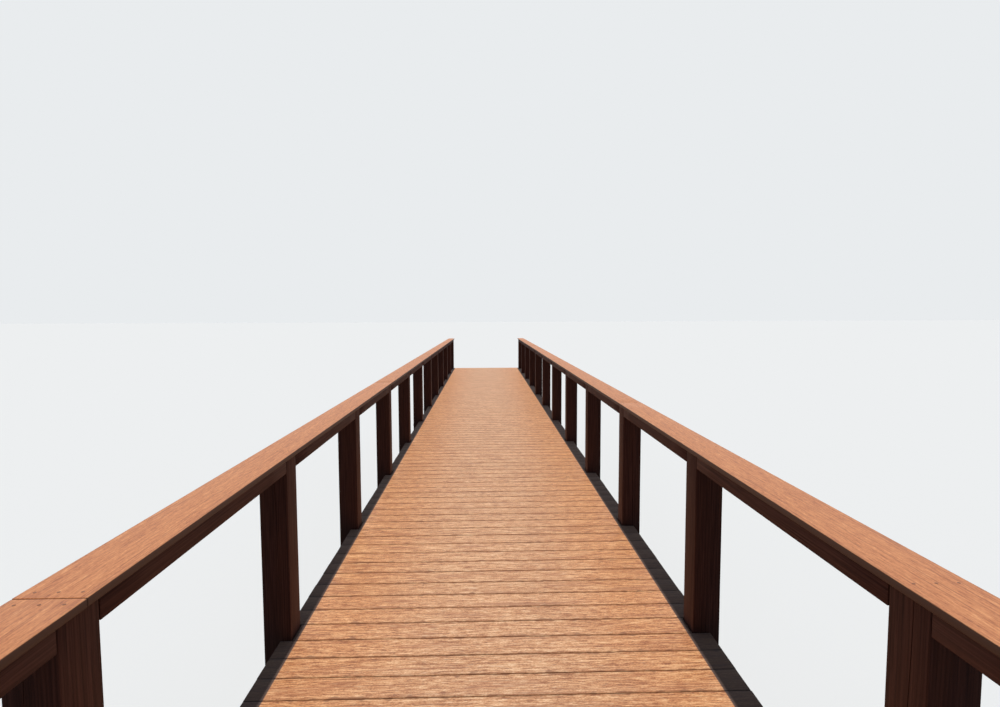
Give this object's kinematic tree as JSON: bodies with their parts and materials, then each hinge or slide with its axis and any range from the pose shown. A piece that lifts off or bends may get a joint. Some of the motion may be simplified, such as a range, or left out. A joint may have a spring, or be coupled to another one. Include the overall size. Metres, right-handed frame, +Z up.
{
  "type": "wooden jetty",
  "caption": "Straight wooden jetty on round timber piles, with a board deck and a flat-topped handrail on square posts down each side.",
  "frame": {"origin": "on the bed at the pile feet, under the middle of the walkway", "axes": "+Y along the jetty from its near end to its far end, +X to the right, +Z up"},
  "size_m": [2.364, 17.955, 3.05],
  "materials": {
    "deck_timber": "oiled orange-brown boards, satin",
    "handrail_timber": "oiled orange-brown boards, satin",
    "post_timber": "dark red-brown stain, satin",
    "frame_timber": "weathered treated softwood, matt",
    "pile_timber": "weathered round piles, dark and damp to the waterline"
  },
  "bodies": {
    "root": {"pile_pair_1": "pile_timber", "pile_pair_2": "pile_timber", "pile_pair_3": "pile_timber", "pile_pair_4": "pile_timber", "pile_pair_5": "pile_timber", "pile_pair_6": "pile_timber", "pile_pair_7": "pile_timber", "pile_cap_1": "frame_timber", "pile_cap_2": "frame_timber", "pile_cap_3": "frame_timber", "pile_cap_4": "frame_timber", "pile_cap_5": "frame_timber", "pile_cap_6": "frame_timber", "pile_cap_7": "frame_timber", "left_stringer_1": "frame_timber", "left_stringer_2": "frame_timber", "left_stringer_3": "frame_timber", "right_stringer_1": "frame_timber", "right_stringer_2": "frame_timber", "right_stringer_3": "frame_timber", "near_header": "frame_timber", "far_header": "frame_timber", "deck_bay_1": "deck_timber", "deck_bay_2": "deck_timber", "deck_bay_3": "deck_timber", "deck_bay_4": "deck_timber", "deck_bay_5": "deck_timber", "deck_bay_6": "deck_timber", "left_posts": "post_timber", "right_posts": "post_timber", "left_rails": "post_timber", "right_rails": "post_timber", "left_handrail": "handrail_timber", "right_handrail": "handrail_timber"}
  },
  "joints": []
}
